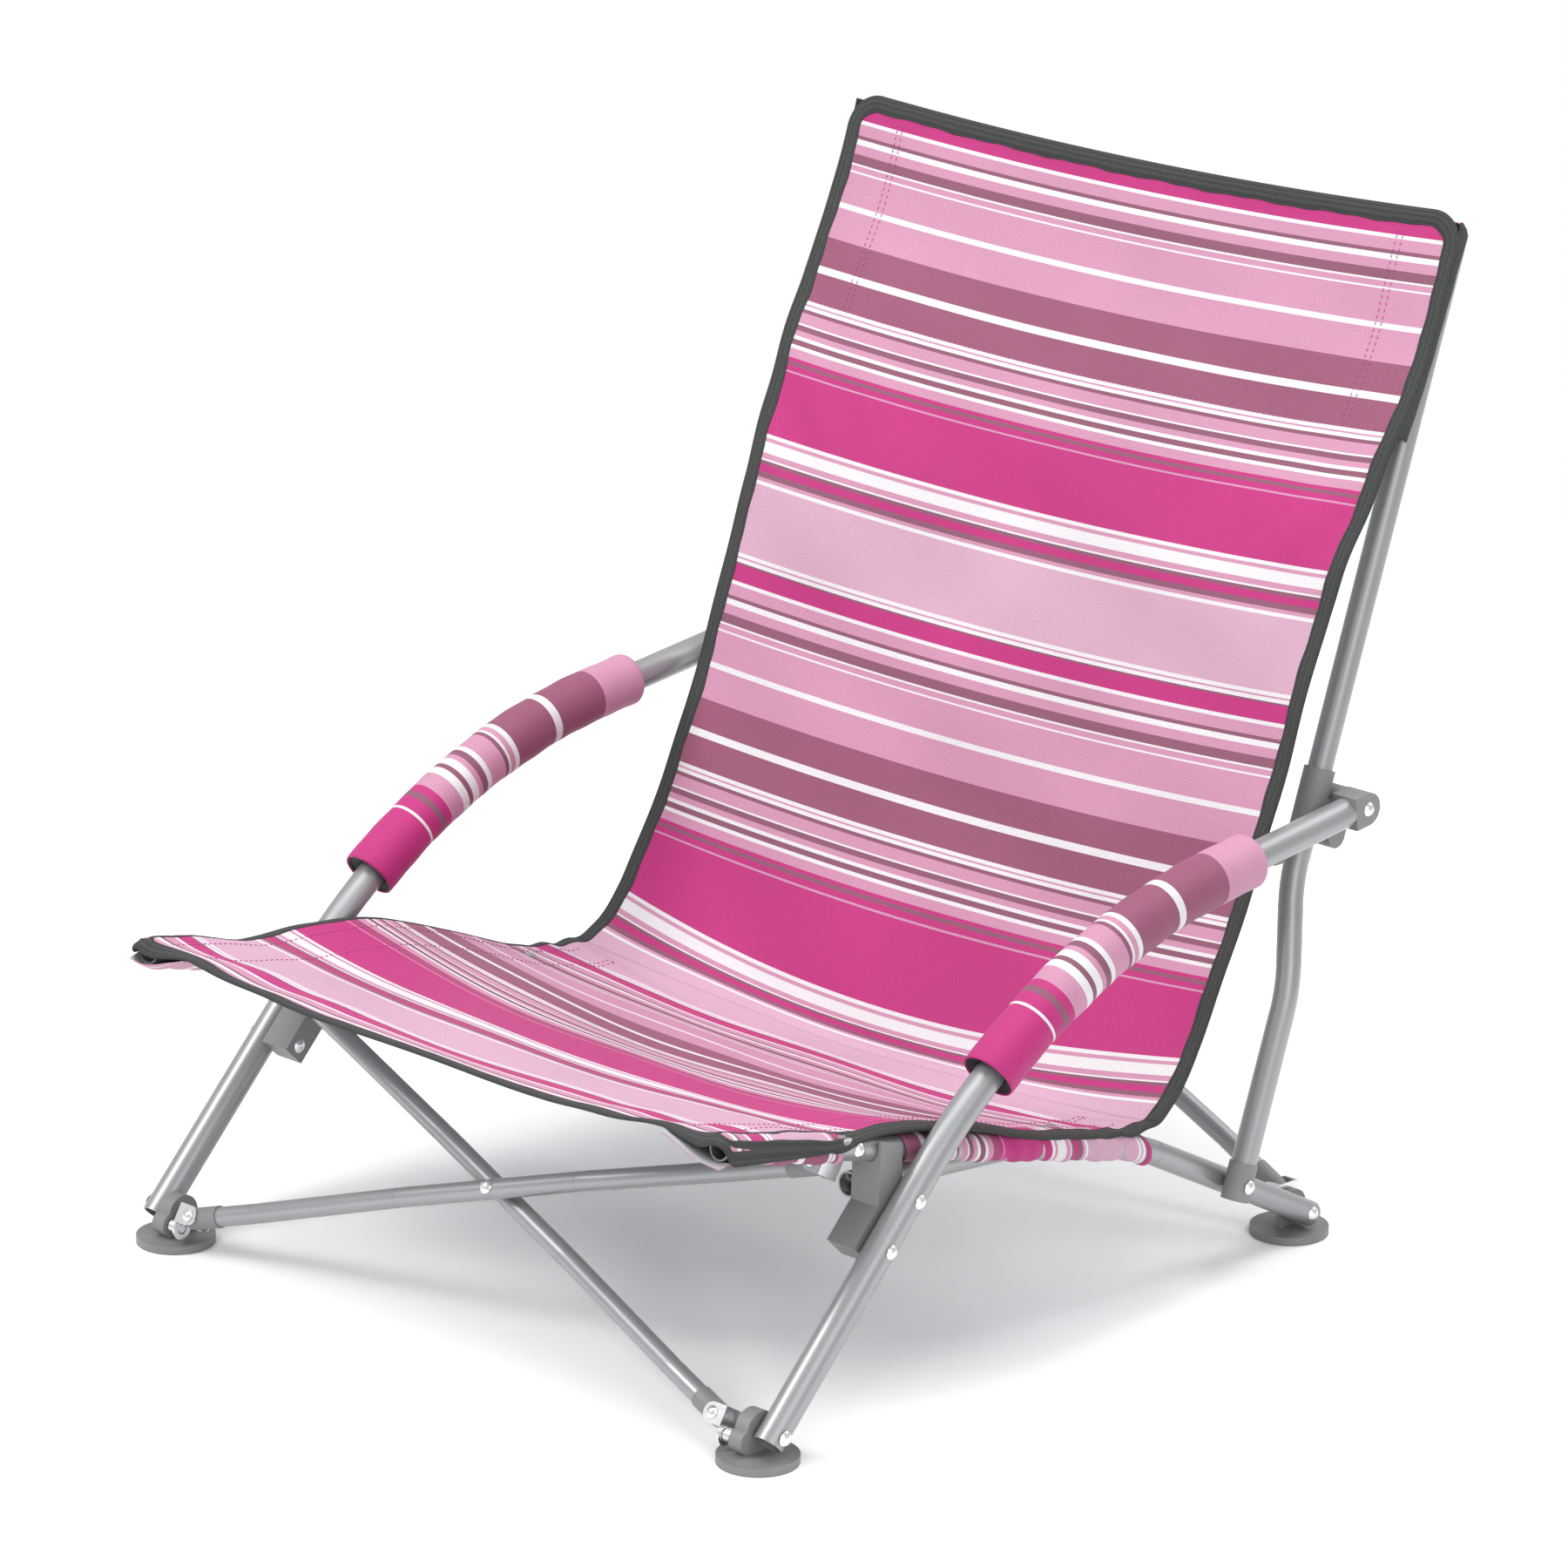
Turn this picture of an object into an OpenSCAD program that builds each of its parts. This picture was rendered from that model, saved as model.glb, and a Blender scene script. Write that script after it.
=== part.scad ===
// Folding camp chair: two side frames, two pairs of crossed tubes and one fabric sling.
// Origin on the floor under the middle of the chair, front towards -Y, up is +Z.

/* [Seat rails] */
// slope of the front part of a seat rail, mm of drop per mm of run
rail_slope = 0.2636; // [0.2:0.01:0.35]
// slope of the rear part of a seat rail
rail_slope_rear = 0.534; // [0.4:0.01:0.7]
// how far back the rail bends
rail_bend_y = 42; // [20:1:60]
// height of the rail at its bend
rail_bend_z = 103; // [95:1:112]
// front end of the rail
rail_tip_y = -326; // [-340:1:-290]
// rail tube diameter
rail_d = 16; // [14:0.5:18]
// bend radius of the rail
rail_r = 150; // [80:5:250]
// distance of the rail from the middle of the chair
rail_x = 245.5; // [240:0.5:250]

/* [Arms] */
// arm tube diameter
arm_d = 19; // [16:0.5:22]
// distance of the arm tube from the middle of the chair
arm_x = 266; // [262:0.5:270]
// front foot pivot, behind the middle
arm_foot_y = -301; // [-315:1:-290]
// front foot pivot height
arm_foot_z = 20; // [18:1:26]
// lean of the front leg, degrees from the floor
arm_lean = 45.5; // [42:0.5:50]
// slope of the arm rest, degrees
arm_rest = 6; // [0:0.5:10]
// bend radius between leg and arm rest
arm_r = 430; // [300:10:480]
// rear end of the arm rest
arm_end_y = 219.2; // [205:0.1:235]
// height of the rear end of the arm rest
arm_end_z = 286; // [270:0.5:300]
// arm sleeve diameter
sleeve_d = 34; // [28:1:40]
// how far the padding of the sleeve sits outside the tube
sleeve_out = 2.5; // [0:0.5:4]

/* [Back posts] */
// lean of the back, degrees from upright
back_lean = 20; // [15:0.5:28]
// length of a back post from its pivot
post_len = 603; // [560:1:680]
// post tube diameter
post_d = 16; // [14:0.5:18]
// distance of the upper post from the middle
post_x = 244.6; // [240:0.1:248]
// post pivot, measured back from the middle
post_y = 118; // [100:1:130]

/* [Link tubes] */
// rear link pivot on the seat rail
link_y = -24.9; // [-40:0.1:-10]
// front link pivot on the arm saddle
saddle_y = -186.5; // [-200:0.5:-170]
// link tube diameter
link_d = 16; // [14:0.5:18]
// distance of the link tube from the middle
link_x = 225.8; // [222:0.1:228]

/* [Crossed tubes] */
// crossed tube diameter
cross_d = 12.7; // [11:0.1:15]
// how far the front clevis rivets sit inside the seat rail's axis
front_inset = 17.5; // [15:0.5:20]
// how far the rear clevis rivets sit inside the seat rail's axis
rear_inset = 21.8; // [19:0.1:25]
// seat rail pivot of the front crossed tubes
lug_y = -215.8; // [-230:0.1:-205]
// clevis rivet above the foot pin
lug_low = 9; // [8:0.5:14]
// clevis rivet below the upper pin
lug_up = 15; // [12:0.5:20]

/* [Feet] */
// foot disc diameter
foot_d = 50; // [40:1:60]
// foot disc thickness
foot_h = 5; // [3:0.5:6]

/* [Fabric] */
// half width of the sling
sling_x = 253.5; // [245:0.5:254]
// cloth thickness
cloth = 2; // [1:0.1:3]
// how deep the empty seat hangs in the middle
seat_sag = 17; // [0:1:30]
// how far the front edge of the seat is drawn back in the middle
front_scoop = 14; // [0:1:25]
// front edge of the seat cloth
seat_front = -333; // [-345:1:-325]

/* [Hidden] */
$fn = 48;
gap = 0.3;
wall = 1.2;
sleeve_wall = 0.9;
pin_d = 5;
run_fit = 0.1;
eps = 0.01;
lap = 1.5;
rear_play = 0.6;
bend_thin = 0.2;
rail_bend = [rail_bend_y, rail_bend_z];
rear_pin = [203, rail_bend_z - (203 - rail_bend_y) * rail_slope_rear];
rail_tip = [rail_tip_y, rail_bend_z - rail_slope * (rail_tip_y - rail_bend_y)];
rail_pitch = atan(rail_slope);
rear_pitch = atan(rail_slope_rear);
rail_end = rear_pin + 7 * [cos(rear_pitch), -sin(rear_pitch)];
rail_path = [rail_tip, rail_bend, rail_end];
link_pin = [link_y, rail_bend_z - rail_slope * (link_y - rail_bend_y)];
lug_pin = [lug_y, rail_bend_z - rail_slope * (lug_y - rail_bend_y)];
post_pin = [post_y, rail_bend_z - rail_slope_rear * (post_y - rail_bend_y)];
foot_pin = [arm_foot_y, arm_foot_z];
spring_pin = [arm_foot_y - 10, arm_foot_z - 5];
arm_pin = [arm_end_y, arm_end_z];
leg_dir = [cos(arm_lean), sin(arm_lean)];
top_dir = [cos(arm_rest), sin(arm_rest)];
arm_turn = meet(foot_pin, leg_dir, arm_pin, top_dir);
cap_back = 12;
arm_path = [foot_pin - 7 * leg_dir, arm_turn, arm_pin - cap_back * top_dir];
saddle_pin = [saddle_y, arm_foot_z + tan(arm_lean) * (saddle_y - arm_foot_y)];
saddle_screw = saddle_pin - 35 * leg_dir;
arm_in = arm_x - arm_d / 2;
arm_out = arm_x + arm_d / 2;
rail_in = rail_x - rail_d / 2;
rail_out = rail_x + rail_d / 2;
post_low_x = rail_out + gap + 9;
up = [sin(back_lean), cos(back_lean)];
aft = [cos(back_lean), -sin(back_lean)];
arm_u = (arm_pin - post_pin) * up;
arm_n = (arm_pin - post_pin) * aft;
slide_pin = [212, 266];
slide_u = (slide_pin - post_pin) * up;
slide_n = (slide_pin - post_pin) * aft;
stop_at = post_pin + up * (slide_u - 5);
front_w = rail_x - front_inset;
rear_w = rail_x - rear_inset;
foot_in = arm_in - 10.5;
cross_off = cross_d / 2 + gap / 2;
cap_d = cross_d + 1.5;
plate = 1.2;
front_web = 8;
foot_web = 8.2;
rear_web_low = 7.7;
rear_web_up = 9.3;

// ---- helpers
function meet(a, u, b, v) = a + u * (((b - a)[0] * v[1] - (b - a)[1] * v[0]) / (u[0] * v[1] - u[1] * v[0]));
function heading(a, b) = atan2(b[1] - a[1], b[0] - a[0]);
function turnAt(p, i) = heading(p[i], p[i + 1]) - heading(p[i - 1], p[i]);

module sidePlane(x = 0) {
  translate([x, 0, 0]) rotate([90, 0, 90]) children();
}

module pathBar(pts, rad, dia) {
  last = len(pts) - 1;
  for (i = [0 : last - 1]) {
    from = i > 0 ? rad * tan(abs(turnAt(pts, i)) / 2) - lap : 0;
    to = i < last - 1 ? rad * tan(abs(turnAt(pts, i + 1)) / 2) - lap : 0;
    translate(pts[i]) rotate([0, 0, heading(pts[i], pts[i + 1])]) translate([from, 0, 0])
      rotate([0, 90, 0]) cylinder(d = dia, h = norm(pts[i + 1] - pts[i]) - from - to);
  }
  if (last > 1) {
    for (i = [1 : last - 1]) {
      turn = turnAt(pts, i);
      cut = rad * tan(abs(turn) / 2);
      side = turn > 0 ? 1 : -1;
      translate(pts[i]) rotate([0, 0, heading(pts[i - 1], pts[i])]) translate([-cut, side * rad, 0])
        rotate([0, 0, turn > 0 ? -90 : 90 - abs(turn)])
          rotate_extrude(angle = abs(turn), $fn = 96) translate([rad, 0]) circle(d = dia - bend_thin);
    }
  }
}

module pathTube(pts, rad, dia) {
  last = len(pts) - 1;
  a = pts[0] + (pts[0] - pts[1]) / norm(pts[0] - pts[1]) * 0.5;
  b = pts[last] + (pts[last] - pts[last - 1]) / norm(pts[last] - pts[last - 1]) * 0.5;
  inner = [for (i = [0 : last]) i == 0 ? a : (i == last ? b : pts[i])];
  difference() {
    pathBar(pts, rad, dia);
    pathBar(inner, rad, dia - 2 * wall);
  }
}

module crossPin(p, x0, x1, d = pin_d) {
  translate([x0, p[0], p[1]]) rotate([0, 90, 0]) cylinder(d = d, h = x1 - x0);
}

module domeHead(d = 9, h = 2.4) {
  ball = (d * d / 4 + h * h) / (2 * h);
  intersection() {
    translate([0, 0, h - ball]) sphere(r = ball);
    cylinder(d = d + 2, h = h + 1);
  }
}

module headOut(p, x, d = 9, h = 2.4) {
  translate([x, p[0], p[1]]) rotate([0, 90, 0]) domeHead(d, h);
}

module headIn(p, x, d = 9, h = 2.4) {
  translate([x, p[0], p[1]]) rotate([0, -90, 0]) domeHead(d, h);
}

module postFrame() {
  translate([0, post_pin[0], post_pin[1]])
    multmatrix([[0, 1, 0, 0], [up[0], 0, aft[0], 0], [up[1], 0, aft[1], 0], [0, 0, 0, 1]]) children();
}

module leftOf() {
  mirror([1, 0, 0]) children();
}

// ---- arm tube, its sleeve, end cap and saddle
module armTube() {
  difference() {
    sidePlane(arm_x) pathTube(arm_path, arm_r, arm_d);
    crossPin(foot_pin, arm_in - 5, arm_out + 5, pin_d + run_fit);
    crossPin(saddle_pin, arm_in - 5, arm_out + 5);
    crossPin(saddle_screw, arm_in - 5, arm_out + 5);
  }
}

module armSleeve() {
  low = meet(foot_pin, leg_dir, [-126, 0], [0, 1]) + [2, -4];
  difference() {
    intersection() {
      sidePlane(arm_x + sleeve_out) pathBar(arm_path, arm_r, sleeve_d);
      translate([arm_in - 1.5, -350, 0]) cube([60, 600, 600]);
      sidePlane() translate(low) rotate([0, 0, 39]) translate([0, -150, 0]) cube([400, 300, 400]);
      sidePlane() translate([102, 272]) rotate([0, 0, 6]) translate([-400, -300, 0]) cube([400, 600, 400]);
    }
    sidePlane(arm_x) pathBar(arm_path, arm_r, arm_d + 2 * gap);
  }
}

module armEndCap() {
  difference() {
    union() {
      sidePlane(arm_in) translate(arm_pin) rotate([0, 0, arm_rest]) translate([-cap_back + eps, -10.5, 0])
        cube([cap_back - eps, 21, arm_d]);
      crossPin(arm_pin, arm_in, arm_out, 21);
      sidePlane(arm_x) translate(arm_pin) rotate([0, 0, arm_rest]) translate([-cap_back - 14, 0, 0])
        rotate([0, 90, 0]) cylinder(d = arm_d - 2 * wall - 0.1, h = 15);
    }
    crossPin(arm_pin, arm_in - 1, arm_out + 1);
  }
}

module railClear(r, top) {
  sidePlane() translate(rail_tip) rotate([0, 0, -rail_pitch]) {
    translate([0, 0, rail_x]) rotate([0, 90, 0]) cylinder(r = r, h = 300);
    translate([0, 0, rail_x - r]) cube([300, top, 2 * r]);
  }
}

module saddle() {
  inner = rail_in - 0.4 - 3;
  outer = arm_in - 0.2;
  difference() {
    union() {
      sidePlane(inner) translate(saddle_pin) rotate([0, 0, arm_lean]) translate([-43, -9, 0])
        cube([43, 18, outer - inner]);
      crossPin(saddle_pin, inner, outer, 18);
      sidePlane(inner) linear_extrude(3) polygon([[-202, 126], [-178.5, 134], [-181, 158], [-191, 170],
        [-199, 172], [-202, 160]]);
      sidePlane(inner) linear_extrude(rail_out + 3.1 - inner) polygon([[-203, 128], [-182, 142],
        [-183, 168], [-201, 173]]);
    }
    railClear(rail_d / 2 + 0.4, 60);
    crossPin(saddle_pin, inner - 1, outer + 1);
    crossPin(saddle_screw, inner - 1, outer + 1);
    sidePlane(arm_x) pathBar(arm_path, arm_r, arm_d + 2 * gap);
  }
}

module armRivets() {
  inner = rail_in - 3.4;
  union() {
    crossPin(saddle_pin, link_x - link_d / 2 - gap, arm_out);
    headOut(saddle_pin, arm_out);
    headIn(saddle_pin, link_x - link_d / 2 - gap, 10);
  }
  union() {
    crossPin(saddle_screw, inner, arm_out);
    headOut(saddle_screw, arm_out);
    headIn(saddle_screw, inner, 9, 2);
  }
  union() {
    crossPin(arm_pin, arm_in, arm_out);
    headOut(arm_pin, arm_out);
  }
}

// ---- link tube between the saddle and the seat rail
module linkTube() {
  pitch = heading(saddle_pin, link_pin);
  run = 10 * [cos(pitch), sin(pitch)];
  difference() {
    sidePlane(link_x) pathTube([saddle_pin - run, link_pin + run], 100, link_d);
    crossPin(saddle_pin, link_x - 12, link_x + 12, pin_d + run_fit);
    crossPin(link_pin, link_x - 12, link_x + 12, pin_d + run_fit);
  }
}

// ---- seat rail, its sleeve and pins
module seatRail() {
  difference() {
    sidePlane(rail_x) pathTube(rail_path, rail_r, rail_d);
    crossPin(link_pin, rail_in - 5, rail_x);
    crossPin(lug_pin, rail_in - 5, rail_out + 5);
    crossPin(post_pin, rail_in - 5, rail_out + 5);
    crossPin(rear_pin, rail_in - 5, rail_out + 5);
  }
}

module railSleeve() {
  difference() {
    intersection() {
      sidePlane(rail_x) pathBar(rail_path, rail_r, rail_d + 2 * (gap + sleeve_wall));
      translate([0, -158, 0]) cube([300, 196, 300]);
    }
    sidePlane(rail_x) pathBar(rail_path, rail_r, rail_d + 2 * gap);
    crossPin(link_pin, rail_in - 20, rail_x, 12.6);
  }
}

module railPins() {
  inner = link_x - link_d / 2;
  union() {
    crossPin(link_pin, inner - gap, rail_in + 3);
    crossPin(link_pin, link_x + link_d / 2 + gap, rail_in - eps, 12);
    headIn(link_pin, inner - gap, 10);
  }
  union() {
    crossPin(lug_pin, rail_in, rail_out);
    headOut(lug_pin, rail_out);
  }
  union() {
    crossPin(post_pin, rail_in, post_low_x + 9 + gap);
    headOut(post_pin, post_low_x + 9 + gap);
    headIn(post_pin, rail_in, 8);
  }
  union() {
    crossPin(rear_pin, rear_w + rear_web_low, rail_out);
    headOut(rear_pin, rail_out);
  }
}

// ---- back post with its pivot sleeve and stop screw
module backPost() {
  path = [[-6, post_low_x], [125, post_low_x], [190, post_x], [post_len, post_x]];
  difference() {
    postFrame() pathTube(path, 120, post_d);
    crossPin(post_pin, post_low_x - 15, post_low_x + 15, pin_d + run_fit);
    crossPin(stop_at, post_x, post_x + 15, 4);
  }
}

module postFoot() {
  difference() {
    postFrame() translate([-10, post_low_x, 0]) rotate([0, 90, 0]) cylinder(d = 18, h = 24);
    postFrame() translate([-6.1, post_low_x, 0]) rotate([0, 90, 0]) cylinder(d = post_d + 0.04, h = 40);
    crossPin(post_pin, post_low_x - 15, post_low_x + 15, pin_d + run_fit);
  }
}

module stopScrew() {
  crossPin(stop_at, post_x + 4, post_x + post_d / 2, 4);
  headOut(stop_at, post_x + post_d / 2, 8, 2);
}

// ---- slider that joins the arm, the post and the rear crossed tubes
module slider() {
  out_x = arm_in - 0.4;
  in_x = post_x - 10;
  difference() {
    union() {
      postFrame() translate([slide_u - 0.5, post_x, 0]) rotate([0, 90, 0]) cylinder(d = 20, h = 39);
      crossPin(arm_pin, in_x + 1.5, out_x, 20);
      crossPin(slide_pin, in_x, out_x, 16);
      postFrame() translate([slide_u, in_x + 1.5, 0]) cube([arm_u - slide_u, out_x - in_x - 1.5, arm_n + 8]);
    }
    postFrame() translate([slide_u - 40, post_x, 0]) rotate([0, 90, 0])
      cylinder(d = post_d + 2 * run_fit, h = 140);
  }
}

// ---- feet
module footDisc(x, y, top_r, dome) {
  translate([x, y, 0]) {
    cylinder(d = foot_d, h = foot_h);
    translate([0, 0, foot_h]) cylinder(r1 = foot_d / 2 - 4, r2 = top_r, h = dome);
  }
}

module frontFoot() {
  difference() {
    union() {
      footDisc(foot_in + 7.5, arm_foot_y, 12, 2);
      crossPin(foot_pin, foot_in, arm_in - gap, 24);
      translate([foot_in, arm_foot_y - 12, foot_h]) cube([arm_in - gap - foot_in, 24, arm_foot_z - foot_h]);
      crossPin(spring_pin, foot_in, arm_in - gap, 15);
    }
    crossPin(foot_pin, foot_in - 6, arm_in + 4);
    crossPin(spring_pin, foot_in - 6, foot_in + 6);
  }
}

module footPins() {
  union() {
    crossPin(foot_pin, foot_in, arm_out + gap);
    headOut(foot_pin, arm_out + gap, 10);
    headIn(foot_pin, foot_in, 9, 2);
  }
  crossPin(spring_pin, front_w + foot_web, foot_in + 6);
}

module footSpring() {
  for (i = [0 : 4]) {
    translate([front_w + foot_web + plate + 1.2 + i * 1.5, spring_pin[0], spring_pin[1]]) rotate([0, 90, 0])
      rotate_extrude() translate([3.45, 0]) circle(d = 1.7, $fn = 24);
  }
}

module rearFoot() {
  difference() {
    union() {
      footDisc(rail_in - 3.5, rear_pin[0], 8, 1.2);
      crossPin(rear_pin, rail_in - 4.5, rail_in - gap, 24);
      translate([rail_in - 4.5, rear_pin[0] - 12, foot_h]) cube([4.5 - gap, 24, rear_pin[1] - foot_h]);
    }
    crossPin(rear_pin, rail_in - 18, rail_in + 2, pin_d + run_fit);
  }
}

// ---- crossed tubes; frame axes are x, along the plane, across the plane
module crossPlane(low, high, e0, e1) {
  tilt = heading(low, high);
  dir = [cos(tilt), sin(tilt)];
  mid = (low + e0 * dir + high - e1 * dir) / 2;
  translate([0, mid[0], mid[1]]) rotate([tilt, 0, 0]) children();
}

function span(low, high, e0, e1) = norm(high - low) - e0 - e1;

module frontPlane() {
  crossPlane(spring_pin, lug_pin, lug_low, lug_up) children();
}

module rearPlane() {
  crossPlane(rear_pin, slide_pin, lug_low, lug_up) children();
}

front_v = span(spring_pin, lug_pin, lug_low, lug_up);
rear_v = span(rear_pin, slide_pin, lug_low, lug_up);

module crossTube(w, v, layer, fit = 0, play = 0) {
  half = norm([2 * w, v]) / 2;
  bend = half - 50;
  flat = layer * (cross_off + play);
  path = [[-half + 8, 0], [-bend, 0], [-70, flat], [70, flat], [bend, 0], [half - 8, 0]];
  difference() {
    rotate([0, 0, atan2(v, 2 * w)]) rotate([90, 0, 0]) pathTube(path, 150, cross_d);
    translate([0, 0, -20]) cylinder(d = pin_d - 1 + fit, h = 40);
  }
}

module crossCaps(w, v) {
  half = norm([2 * w, v]) / 2;
  rotate([0, 0, atan2(v, 2 * w)]) for (s = [-1, 1]) {
    difference() {
      union() {
        translate([s * half, 0, 0]) sphere(d = cap_d);
        translate([s * half, 0, 0]) rotate([0, -90 * s, 0]) cylinder(d = cap_d, h = 20);
      }
      translate([s * (half - 8 + eps), 0, 0]) rotate([0, -90 * s, 0]) cylinder(d = cross_d, h = 30);
      translate([s * half, 0, -20]) cylinder(d = pin_d - 1, h = 40);
    }
  }
}

module endRivets(w, v) {
  half = norm([2 * w, v]) / 2;
  reach = cap_d / 2 + gap + plate;
  rotate([0, 0, atan2(v, 2 * w)]) for (s = [-1, 1]) {
    translate([s * half, 0, 0]) {
      translate([0, 0, -reach - 0.3]) cylinder(d = pin_d - 1, h = 2 * reach + 0.6);
      translate([0, 0, reach + 0.3]) domeHead(8, 2);
      rotate([180, 0, 0]) translate([0, 0, reach + 0.3]) domeHead(8, 2);
    }
  }
}

module crossRivets(w, v, middle, play = 0) {
  endRivets(w, v);
  if (middle == 2) {
    translate([0, 0, -cross_d - 0.5]) cylinder(d = pin_d - 1, h = 2 * cross_d + 1);
    translate([0, 0, cross_d + 0.3]) domeHead(9, 2.2);
    rotate([180, 0, 0]) translate([0, 0, cross_d + 0.3]) domeHead(9, 2.2);
  } else {
    rotate([middle > 0 ? 0 : 180, 0, 0]) {
      translate([0, 0, gap / 2 + play]) cylinder(d = pin_d - 1, h = cross_d + 0.5);
      translate([0, 0, cross_d + 0.3 + play]) domeHead(9, 2.2);
    }
  }
}

// bracket with two cheeks; the clevis rivet is at its origin, the side pin further along y
module lug(web, far, play = run_fit) {
  side = cap_d / 2 + gap;
  difference() {
    union() {
      translate([web, min(0, far), -7]) cube([plate, abs(far), 14]);
      translate([web, far, 0]) rotate([0, 90, 0]) cylinder(r = 7, h = plate);
      for (z = [-side - plate, side]) {
        translate([0, -6.5, z]) cube([web + plate, 13, plate]);
        translate([0, 0, z]) cylinder(r = 6.5, h = plate);
      }
      translate([web, -6.5, -side - plate]) cube([plate, 13, 2 * (side + plate)]);
    }
    translate([0, 0, -30]) cylinder(d = pin_d - 1 + run_fit, h = 60);
    translate([-30, far, 0]) rotate([0, 90, 0]) cylinder(d = pin_d + play, h = 60);
  }
}

module frontLugLow() {
  frontPlane() translate([front_w, -front_v / 2, 0]) lug(foot_web, -lug_low, 2);
}

module frontLugUp() {
  frontPlane() translate([front_w, front_v / 2, 0]) lug(front_web, lug_up);
}

module rearLugLow() {
  rearPlane() translate([rear_w, -rear_v / 2, 0]) lug(rear_web_low, -lug_low);
}

module rearLugUp() {
  rearPlane() translate([rear_w, rear_v / 2, 0]) lug(rear_web_up, lug_up);
}

// ---- fabric sling
function onRail(y, off) = [y, rail_bend_z - rail_slope * (y - rail_bend_y) + off];

module clothBand(pts, t) {
  linear_extrude(2 * sling_x) polygon(concat(pts, [for (i = [len(pts) - 1 : -1 : 0]) pts[i] + t[i]]));
}

// section of the seat cloth across the chair: distance from the middle, depth below the rail's top
seat_half = [[0, 1], [50, 0.94], [100, 0.74], [150, 0.47], [200, 0.13], [214, 0], [sling_x, 0]];
seat_low = rail_d / 2 + gap + sleeve_wall + 0.5;
seat_rear = 49.5;

function seatEdge(lift) = concat(
  [for (i = [len(seat_half) - 1 : -1 : 1]) [-seat_half[i][0], seat_sag * seat_half[i][1] - seat_low - lift]],
  [for (p = seat_half) [p[0], seat_sag * p[1] - seat_low - lift]]);

// along the rails, x across the chair and y downwards from the rail's axis
module seatFrame(along) {
  translate([0, seat_front - 3, onRail(seat_front - 3, 0)[1]]) rotate([-90 - rail_pitch, 0, 0])
    translate([0, 0, along]) children();
}

seat_run = (seat_rear - seat_front + 3) / cos(rail_pitch);

module seatSling() {
  scoop = (sling_x * sling_x + front_scoop * front_scoop) / (2 * front_scoop);
  difference() {
    seatFrame(0) linear_extrude(seat_run)
      polygon(concat(seatEdge(0), [for (i = [12 : -1 : 0]) seatEdge(cloth)[i]]));
    translate([0, seat_front + front_scoop - scoop, 100]) cylinder(r = scoop, h = 200, $fn = 360);
  }
  for (s = [0, 1]) mirror([s, 0, 0]) difference() {
    intersection() {
      sidePlane(rail_x) pathBar([onRail(seat_front, 0), rail_bend], 100, 2 * seat_low + 1.6);
      translate([200, seat_front, 100]) cube([sling_x - 200, 45, 200]);
    }
    sidePlane(rail_x) pathBar([rail_tip - [1, 0], rail_bend], 100, rail_d + 1);
  }
}

back_line = [[54, 113.4], [72, 125], [90, 148], [110, 180], [128, 212], [144, 245], [161, 287], [176, 323],
  [190, 360], [204, 397], [220, 436], [240, 476], [264, 516], [288.5, 561], [305, 605.5], [318, 641]];

module backSling() {
  thick = [for (i = [0 : len(back_line) - 1]) i == 0 ? [-1, 2] : [-1.8, 1]];
  sidePlane(-sling_x) clothBand(back_line, thick);
  seatFrame(seat_run + gap) linear_extrude(cloth)
      polygon(concat(seatEdge(0), [[sling_x, -14], [-sling_x, -14]]));
  for (s = [0, 1]) mirror([s, 0, 0]) difference() {
    intersection() {
      postFrame() translate([510, post_x, 0]) rotate([0, 90, 0]) cylinder(d = 22, h = post_len - 510 + 3);
      translate([200, 150, 400]) cube([sling_x - 200, 300, 400]);
    }
    postFrame() translate([500, post_x, 0]) rotate([0, 90, 0]) cylinder(d = post_d + 1, h = post_len - 499);
  }
}

// ---- named parts
steel = "silver";
plastic = "dimgray";
chrome = "lightgray";
module arm_tube_right() color(steel) armTube();
module arm_tube_left() color(steel) leftOf() armTube();
module arm_end_cap_right() color(plastic) armEndCap();
module arm_end_cap_left() color(plastic) leftOf() armEndCap();
module arm_sleeve_right() color("orchid") armSleeve();
module arm_sleeve_left() color("orchid") leftOf() armSleeve();
module saddle_right() color(plastic) saddle();
module saddle_left() color(plastic) leftOf() saddle();
module arm_rivets_right() color(chrome) armRivets();
module arm_rivets_left() color(chrome) leftOf() armRivets();
module link_tube_right() color(steel) linkTube();
module link_tube_left() color(steel) leftOf() linkTube();
module seat_rail_right() color(steel) seatRail();
module seat_rail_left() color(steel) leftOf() seatRail();
module rail_sleeve_right() color("orchid") railSleeve();
module rail_sleeve_left() color("orchid") leftOf() railSleeve();
module rail_pins_right() color(chrome) railPins();
module rail_pins_left() color(chrome) leftOf() railPins();
module back_post_right() color(steel) backPost();
module back_post_left() color(steel) leftOf() backPost();
module post_foot_right() color(plastic) postFoot();
module post_foot_left() color(plastic) leftOf() postFoot();
module stop_screw_right() color(chrome) stopScrew();
module stop_screw_left() color(chrome) leftOf() stopScrew();
module slider_right() color(plastic) slider();
module slider_left() color(plastic) leftOf() slider();
module front_foot_right() color(plastic) frontFoot();
module front_foot_left() color(plastic) leftOf() frontFoot();
module foot_pins_right() color(chrome) footPins();
module foot_pins_left() color(chrome) leftOf() footPins();
module foot_spring_right() color(chrome) footSpring();
module foot_spring_left() color(chrome) leftOf() footSpring();
module rear_foot_right() color(plastic) rearFoot();
module rear_foot_left() color(plastic) leftOf() rearFoot();
module front_lug_low_right() color(chrome) frontLugLow();
module front_lug_low_left() color(chrome) leftOf() frontLugLow();
module front_lug_up_right() color(chrome) frontLugUp();
module front_lug_up_left() color(chrome) leftOf() frontLugUp();
module rear_lug_low_right() color(chrome) rearLugLow();
module rear_lug_low_left() color(chrome) leftOf() rearLugLow();
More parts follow.
